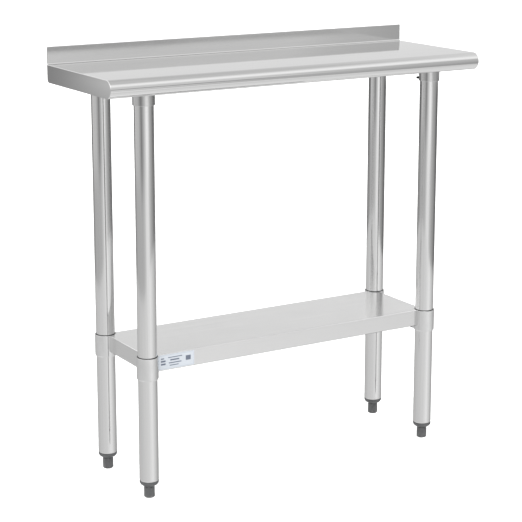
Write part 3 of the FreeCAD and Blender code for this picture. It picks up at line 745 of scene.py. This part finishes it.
def make_boss(direction, start, end, radius, level):
    """A round boss with a softened rim, from start to end along a level direction."""
    rim = 1.0 * MM
    steps, count = 4, 48
    rings = [ring(radius, start, count), ring(radius, end - rim, count)]
    for step in range(1, steps + 1):
        angle = math.pi / 2 * step / steps
        inset, back = rim * (1 - math.cos(angle)), rim * (1 - math.sin(angle))
        rings.append(ring(radius - inset, end - back, count))
    turn = UP.rotation_difference(direction).to_matrix().to_4x4()
    turn.translation = UP * level
    return moved(loft(rings), turn)


def make_insert(corner):
    """The plastic plug in a tube's end: rim, rounded underside, ringed neck."""
    node = f"foot_insert_{corner}"
    low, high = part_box(node)
    rim_low = LEG_LOW.z - 2 * MM
    dome_radius = 8.4 * MM
    neck = 11.2 * MM
    plug = LEG_RADIUS - LEG_WALL - 0.1 * MM
    outline = [
        (STEM_HOLE, low.z), (neck, low.z, 0.5 * MM, 3), (neck, rim_low - dome_radius, 0.4 * MM, 3),
        (LEG_RADIUS, rim_low - dome_radius, dome_radius, 12), (LEG_RADIUS, LEG_LOW.z, 0.7 * MM, 4),
        (plug, LEG_LOW.z, 0.1 * MM, 2), (plug, high.z, 1.2 * MM, 4),
        (STEM_HOLE, high.z),
    ]
    plug_piece = new_object(f"insert_{corner}", Shape().add(turned(outline), corner_matrix(corner)))
    finish_piece(plug_piece, "table", FOOT_PLASTIC, [node])


def make_hex_foot(corner):
    """A hexagonal foot, its corners turned down at both ends like a nut's."""
    node = f"hex_foot_{corner}"
    low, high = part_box(node)
    middle = (low + high) / 2
    apothem = (high.x - low.x) / 2
    across_corners = apothem / math.cos(math.pi / 6)
    chamfer = across_corners - apothem + 0.3 * MM
    slope = math.tan(math.radians(32))
    end_radius, rounding, lead_in = across_corners - chamfer - 0.6 * MM, 0.25 * MM, 0.5 * MM
    steps = 6
    insets = [chamfer * (1 - step / steps) for step in range(steps + 1)]
    rings = [ring(end_radius, low.z, apothem=apothem)]
    for inset in insets:
        rise = rounding + (chamfer - inset) * slope
        rings.append(ring(across_corners - inset, low.z + rise, apothem=apothem))
    for inset in reversed(insets):
        drop = rounding + (chamfer - inset) * slope
        rings.append(ring(across_corners - inset, high.z - drop, apothem=apothem))
    rings.append(ring(end_radius, high.z, apothem=apothem))
    rings.append(ring(STEM_HOLE + lead_in, high.z))
    rings.append(ring(STEM_HOLE, high.z - lead_in))
    rings.append(ring(STEM_HOLE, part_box(f"foot_stem_{corner}")[0].z - 0.25 * MM))
    foot = new_object(f"foot_{corner}", Shape().add(loft(rings), Matrix.Translation((middle.x, middle.y, 0))))
    finish_piece(foot, f"foot_{corner}", FOOT_PLASTIC, [node])


THREAD_DEPTH = 0.61          # depth of a metric thread, in pitches


def thread(radius, pitch, low, high, count=24):
    """A threaded rod's surface: its radius rises and falls once in each pitch, a helix round Z."""
    per_turn = 6
    depth = THREAD_DEPTH * pitch
    levels = max(2, round((high - low) / pitch * per_turn))
    rings = []
    for level in range(levels + 1):
        z = low + (high - low) * level / levels
        taper = min(1.0, (z - low) / pitch, (high - z) / pitch)
        points = []
        for index in range(count):
            phase = (z / pitch - index / count) % 1
            wave = 0.5 + 0.5 * math.cos(2 * math.pi * phase)
            reach = radius - depth * (1 - wave * taper)
            angle = 2 * math.pi * index / count
            points.append(Vector((reach * math.cos(angle), reach * math.sin(angle), z)))
        rings.append(points)
    return loft(rings)


def make_stem(corner):
    """An M10 stem, threaded all the way."""
    node = f"foot_stem_{corner}"
    low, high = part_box(node)
    middle = (low + high) / 2
    rod_surface = thread((high.x - low.x) / 2, 1.5 * MM, low.z, high.z)
    shape = Shape().add(rod_surface, Matrix.Translation((middle.x, middle.y, 0)))
    stem = new_object(f"stem_{corner}", shape)
    finish_piece(stem, node, FASTENER_ZINC, [node])


def hat_section(web, depth, foot):
    """A hat channel's section, feet at height 0 and web below."""
    half = web / 2
    bend = 2.0 * MM
    inner = bend - SHEET
    right = [
        (half - SHEET, -(depth - SHEET), inner, 3), (half - SHEET, 0, bend, 5),
        (half + foot, 0), (half + foot, -SHEET),
        (half, -SHEET, inner, 3), (half, -depth, bend, 5),
    ]
    left = [(-corner[0], *corner[1:]) for corner in reversed(right)]
    return round_corners(right + left)


def make_channel(node, body, along_x):
    """A hat channel of galvanised sheet, folded with small bends."""
    low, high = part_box(node)
    foot = 15 * MM
    middle = (low + high) / 2
    if along_x:
        section = hat_section(high.y - low.y - 2 * foot, high.z - low.z, foot)
        outline = [Vector((point.x + middle.y, point.y + high.z)) for point in section]
        surface = swept(outline, (low.x, high.x), "X")
    else:
        section = hat_section(high.x - low.x - 2 * foot, high.z - low.z, foot)
        outline = [Vector((point.x + middle.x, point.y + high.z)) for point in section]
        surface = swept(outline, (low.y, high.y), "Y")
    channel = new_object(f"{node}_folded", Shape().add(surface))
    finish_piece(channel, body, CHANNEL_ZINC, [node])


def hex_head(flats, low, high, bore=None):
    """A hexagonal head or nut, its corners turned down at the lower end, solid or with a bore."""
    apothem = flats / 2
    corner = apothem / math.cos(math.pi / 6)
    cut = corner - apothem * 0.97
    slope = math.tan(math.radians(30))
    count, steps = 48, 4
    rings = []
    for step in range(steps + 1):
        inset = cut * (1 - step / steps)
        rings.append(ring(corner - inset, low + (cut - inset) * slope, count, apothem))
    rings.append(ring(corner, high, count, apothem))
    if bore:
        return loft([ring(bore, low, count), *rings, ring(bore, high, count)], closed=True)
    return loft(rings)


def loose_part_boxes(node):
    """The lowest and highest corners of each separate solid of a CAD node, in a fixed order."""
    edit = bmesh.new()
    edit.from_mesh(frame["nodes"][node].data)
    bmesh.ops.remove_doubles(edit, verts=edit.verts, dist=1e-6)
    edit.verts.ensure_lookup_table()
    seen, boxes = set(), []
    for vertex in edit.verts:
        if vertex.index in seen:
            continue
        island, queue = [], [vertex]
        seen.add(vertex.index)
        while queue:
            current = queue.pop()
            island.append(current.co.copy())
            for edge in current.link_edges:
                other = edge.other_vert(current)
                if other.index not in seen:
                    seen.add(other.index)
                    queue.append(other)
        low = Vector([min(point[axis] for point in island) for axis in range(3)])
        high = Vector([max(point[axis] for point in island) for axis in range(3)])
        boxes.append((low, high))
    edit.free()
    return sorted(boxes, key=lambda pair: tuple(round(value, 5) for value in pair[0]))


def make_studs_and_nuts():
    """The M5 studs under the worktop and their nuts."""
    studs, nuts = Shape(), Shape()
    pitch, bore = 0.8 * MM, 2.55 * MM
    for low, high in loose_part_boxes("weld_studs"):
        middle = (low + high) / 2
        place = Matrix.Translation((middle.x, middle.y, 0))
        studs.add(thread((high.x - low.x) / 2, pitch, low.z, high.z, FASTENER_COUNT), place)
    for low, high in loose_part_boxes("stud_nuts"):
        middle = (low + high) / 2
        place = Matrix.Translation((middle.x, middle.y, 0))
        nuts.add(hex_head(high.y - low.y, low.z, high.z, bore), place)
    for name, shape, node in (("studs_threaded", studs, "weld_studs"), ("nuts_hexagonal", nuts, "stud_nuts")):
        finish_piece(new_object(name, shape), "table", FASTENER_ZINC, [node])


def make_bolts():
    """Hexagon-headed bolts up through the socket plates."""
    bolts = Shape()
    radius, pitch, head_height = 3 * MM, 1.0 * MM, 4.5 * MM
    for low, high in loose_part_boxes("socket_bolts"):
        middle = (low + high) / 2
        place = Matrix.Translation((middle.x, middle.y, 0))
        head = low.z + head_height
        bolts.add(hex_head(high.y - low.y, low.z, head), place)
        bolts.add(thread(radius, pitch, head, high.z, FASTENER_COUNT), place)
    piece = new_object("bolts_hexagonal", bolts)
    finish_piece(piece, "table", FASTENER_ZINC, ["socket_bolts"])


def set_screw(length):
    """A headless screw along Z with a hexagonal key hole in its end."""
    radius, pitch, key, depth = 3 * MM, 1.0 * MM, 1.5 * MM, 3.5 * MM
    count = 24
    root = radius - THREAD_DEPTH * pitch
    vertices, faces = thread(radius, pitch, 0, length - 0.4 * MM, count)
    head, head_faces = loft([
        vertices[-count:],
        ring(root - 0.2 * MM, length, count),
        ring(2 * key, length, count, key),
        ring(2 * key, length - depth, count, key),
    ])
    first = len(vertices) - count
    start_cap = tuple(reversed(range(count)))
    joined = [tuple(first + number for number in face) for face in head_faces if face != start_cap]
    return vertices[:-count] + head, faces[:-1] + joined


def make_set_screws(node, name, body, tip_radius):
    """One set screw at each leg, pointing inward, its tip at a distance from the leg's axis."""
    screws = Shape()
    length = {"socket_set_screws": 8 * MM, "collar_set_screws": 10 * MM}[node]
    low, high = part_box(node)
    level = (low.z + high.z) / 2
    for corner in CORNERS:
        matrix = corner_matrix(corner)
        inward = matrix.to_3x3() @ Vector((1, 1, 0)).normalized()
        place = UP.rotation_difference(inward).to_matrix().to_4x4()
        place.translation = matrix.translation + UP * level + inward * tip_radius
        screws.add(set_screw(length), place)
    finish_piece(new_object(name, screws), body, SCREW_BLACK, [node])


def make_label():
    """A thin film with rounded corners on the shelf's front edge."""
    low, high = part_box("label_plate")
    middle = (low + high) / 2
    half_x, half_z = (high.x - low.x) / 2, (high.z - low.z) / 2
    edge = 0.06 * MM
    rings = []
    for inset, y in ((0, high.y), (0, low.y + edge), (edge, low.y)):
        outline = rectangle(half_x - inset, half_z - inset, 0, 2 * MM - inset, 6)
        rings.append([Vector((middle.x + point.x, y, middle.z + point.y)) for point in outline])
    label = new_object("label_film_piece", Shape().add(loft(rings)))
    finish_piece(label, "undershelf", LABEL_FILM, ["label_plate"])


make_worktop()
make_undershelf()
for corner_name in CORNERS:
    make_leg(corner_name)
    make_socket(corner_name)
    make_collar(corner_name)
    make_insert(corner_name)
    make_hex_foot(corner_name)
    make_stem(corner_name)
make_channel("end_channel_left", "table", False)
make_channel("end_channel_right", "table", False)
make_channel("centre_channel", "table", True)
make_channel("shelf_channel", "undershelf", True)
make_studs_and_nuts()
make_bolts()
make_set_screws("socket_set_screws", "socket_screws_black", "table", LEG_RADIUS + 0.05 * MM)
make_set_screws("collar_set_screws", "collar_screws_black", "undershelf", COLLAR_BORE)
make_label()


# ================================================================ studio


def make_floor():
    """A wide pale disc, set down by the feet's travel; mirrors see the studio's own dome instead of it."""
    floor = flat_disc("floor", FLOOR_RADIUS, -FOOT_TRAVEL - 0.5 * MM)
    floor.data.materials.append(floor_finish("floor_pale"))
    floor.visible_glossy = False


def flat_disc(name, radius, height):
    """A level disc at a height, as one face."""
    count = 128
    mesh = bpy.data.meshes.new(name)
    mesh.from_pydata(ring(radius, height, count), [], [tuple(range(count))])
    disc = bpy.data.objects.new(name, mesh)
    bpy.context.scene.collection.objects.link(disc)
    return disc


def only_reflected(thing):
    """A studio piece that mirrors see, and nothing else."""
    thing.visible_camera = False
    thing.visible_diffuse = False
    thing.visible_shadow = False
    thing.visible_transmission = False


class Glow(Nodes):
    """A material that shines with a colour of its own."""

    def __init__(self, name):
        self.material = bpy.data.materials.new(name)
        self.material.use_nodes = True
        super().__init__(self.material.node_tree)
        self.tree.nodes.clear()
        self.place = self.node("ShaderNodeTexCoord").outputs["Object"]

    def glow(self, colour):
        """Ends the material in an emission of the colour."""
        emission = self.node("ShaderNodeEmission", {"Color": colour}).outputs[0]
        self.node("ShaderNodeOutputMaterial", {"Surface": emission})


def azimuth_turn(nodes, across, depth):
    """The direction from the front, -Y, towards +X: -180 to 180 degrees as 0 to 1."""
    azimuth = nodes.math("ARCTAN2", across, nodes.math("MULTIPLY", depth, -1.0))
    return nodes.math("ADD", nodes.math("DIVIDE", azimuth, 2 * math.pi), 0.5)


def by_degrees(*stops):
    """Ramp stops given by azimuth in degrees."""
    return [(degrees / 360 + 0.5, brightness) for degrees, brightness in stops]


def make_cards():
    """Grey and white cards in a ring round the table, which only its reflections see."""
    radius, height, count = 2.0, 0.95, 180
    low, high = ring(radius, 0, count), ring(radius, height, count)
    faces = [(i, (i + 1) % count, count + (i + 1) % count, count + i) for i in range(count)]
    mesh = bpy.data.meshes.new("studio_cards")
    mesh.from_pydata(low + high, [], faces)
    cards = bpy.data.objects.new("studio_cards", mesh)
    bpy.context.scene.collection.objects.link(cards)
    nodes = Glow("cards_grey")
    split = nodes.node("ShaderNodeSeparateXYZ", {"Vector": nodes.place}).outputs
    turn = azimuth_turn(nodes, split["X"], split["Y"])
    low_cards = nodes.ramp(turn, by_degrees(
        (-180, 0.28), (-145, 0.34), (-118, 0.48), (-58, 0.50), (-40, 0.62), (-24, 0.88), (-4, 0.90),
        (10, 0.74), (23, 0.55), (45, 0.41), (62, 0.34), (76, 0.20), (150, 0.20),
    ))
    middle_cards = nodes.ramp(turn, by_degrees(
        (-180, 0.18), (-147, 0.18), (-136, 0.62), (-90, 0.58), (-74, 0.42), (-60, 0.24), (-46, 0.42),
        (-30, 0.66), (-12, 1.00), (5, 1.00), (18, 0.72), (30, 0.48), (62, 0.34), (76, 0.16), (150, 0.16),
    ))
    high_cards = nodes.ramp(turn, by_degrees(
        (-180, 0.85), (-158, 0.75), (-147, 0.25), (-137.5, 0.66), (-90, 0.55), (-60, 0.24), (-30, 0.60),
        (-12, 0.90), (-2, 0.80), (8, 0.42), (24, 0.42), (30, 0.50), (42, 0.50), (54, 0.38), (75, 0.35),
        (105, 0.55), (130, 0.88),
    ))
    to_middle = nodes.spread(split["Z"], 0, 1, 0.26, 0.44, "SMOOTHSTEP")
    to_high = nodes.spread(split["Z"], 0, 1, 0.58, 0.64, "SMOOTHSTEP")
    nodes.glow(nodes.tint(to_high, nodes.tint(to_middle, low_cards, middle_cards), high_cards))
    mesh.materials.append(nodes.material)
    only_reflected(cards)


def at_elevation(degrees):
    """An elevation, from -90 to 90 degrees, as 0 to 1."""
    return degrees / 180 + 0.5


def elevation_stops(*stops):
    """Ramp stops given by elevation in degrees."""
    return [(at_elevation(degrees), brightness) for degrees, brightness in stops]


def make_world():
    """White to the camera and to the floor; to mirrors, a soft dome with a lamp at the front."""
    world = bpy.data.worlds.new("studio")
    bpy.context.scene.world = world
    world.use_nodes = True
    nodes = Nodes(world.node_tree)
    nodes.tree.nodes.clear()
    place = nodes.node("ShaderNodeTexCoord").outputs["Generated"]
    split = nodes.node("ShaderNodeSeparateXYZ", {"Vector": place}).outputs
    rise = nodes.math("ADD", nodes.math("DIVIDE", nodes.math("ARCSINE", split["Z"]), math.pi), 0.5)
    turn = azimuth_turn(nodes, split["X"], split["Y"])
    floor_near = nodes.ramp(turn, by_degrees(
        (-180, 0.50), (-150, 0.60), (-100, 0.68), (-60, 0.72), (-30, 0.78), (0, 0.88), (12, 0.95),
        (25, 0.92), (42, 0.82), (62, 0.68), (88, 0.48), (150, 0.42),
    ))
    floor_below = nodes.ramp(rise, elevation_stops(
        (-90, 0.78), (-72, 0.80), (-66, 1.00), (-60, 0.84), (-50, 0.82), (-30, 0.66),
    ))
    steep = nodes.spread(rise, 0, 1, at_elevation(-26), at_elevation(-40), "SMOOTHSTEP")
    floor = nodes.tint(steep, floor_near, floor_below)
    front = nodes.ramp(rise, elevation_stops(
        (0, 0.67), (10, 0.67), (14, 0.60), (26, 0.90), (38, 1.06), (48, 0.88), (57, 0.62), (90, 0.60),
    ))
    front_low = nodes.ramp(turn, by_degrees(
        (22, 0.76), (26, 0.70), (32.3, 0.70), (34.5, 0.58), (37, 0.55), (60, 0.55),
    ))
    near_level = nodes.spread(rise, 1, 0, at_elevation(18), at_elevation(24))
    front = nodes.tint(near_level, front, front_low)
    rear = nodes.ramp(rise, elevation_stops(
        (0, 0.78), (3, 0.80), (4.5, 0.80), (12, 0.79), (30, 0.72), (50, 0.52), (90, 0.60),
    ))
    rightward = nodes.math("MULTIPLY", split["X"], HEADING.x)
    facing = nodes.math("ADD", rightward, nodes.math("MULTIPLY", split["Y"], -HEADING.y))
    dome = nodes.tint(nodes.spread(facing, 0, 1, -0.35, 0.35, "SMOOTHSTEP"), rear, front)
    left = nodes.math(
        "MULTIPLY", nodes.spread(split["X"], 1, 0, -0.15, 0.02, "SMOOTHSTEP"),
        nodes.spread(rise, 0, 1, at_elevation(12), at_elevation(20), "SMOOTHSTEP"),
    )
    dome = nodes.tint(left, dome, grey(1.35))
    dome = nodes.tint(nodes.spread(rise, 0, 1, at_elevation(-2.5), at_elevation(-1.5)), floor, dome)
    path = nodes.node("ShaderNodeLightPath").outputs
    seen = nodes.node("ShaderNodeBackground", {"Color": (1, 1, 1, 1), "Strength": 1.0}).outputs[0]
    lit = nodes.node("ShaderNodeBackground", {"Color": (1, 1, 1, 1), "Strength": 1.9}).outputs[0]
    mirrored = nodes.node("ShaderNodeBackground", {"Color": dome, "Strength": 1.0}).outputs[0]
    glossy = nodes.node("ShaderNodeMixShader", {0: path["Is Glossy Ray"], 1: lit, 2: mirrored}).outputs[0]
    final = nodes.node("ShaderNodeMixShader", {0: path["Is Camera Ray"], 1: glossy, 2: seen}).outputs[0]
    nodes.node("ShaderNodeOutputWorld", {"Surface": final})


def make_key_light():
    """One wide, soft light above the front of the table."""
    light = bpy.data.lights.new("key", "AREA")
    light.shape = "DISK"
    light.size = 2.2
    light.energy = 8
    key = bpy.data.objects.new("key", light)
    key.location = (-0.6, -1.8, 3.2)
    aim = Vector((0, 0, 0.5))
    key.rotation_euler = (key.location - aim).to_track_quat("Z", "Y").to_euler()
    bpy.context.scene.collection.objects.link(key)


def make_camera():
    """A long lens, high to the front left, level across and pitched down."""
    camera = bpy.data.cameras.new("camera")
    view = bpy.data.objects.new("camera", camera)
    bpy.context.scene.collection.objects.link(view)
    bpy.context.scene.camera = view
    level, down = math.cos(CAMERA_PITCH), math.sin(CAMERA_PITCH)
    ahead = Vector((HEADING.x * level, HEADING.y * level, -down))
    view.location = CAMERA_PLACE
    view.rotation_euler = ahead.to_track_quat("-Z", "Y").to_euler()
    camera.sensor_width = 36
    camera.lens = CAMERA_LENS
    camera.shift_y = -0.1
    camera.clip_end = 100


make_floor()
make_cards()
make_world()
make_key_light()
make_camera()
bpy.context.scene.view_settings.view_transform = "Standard"
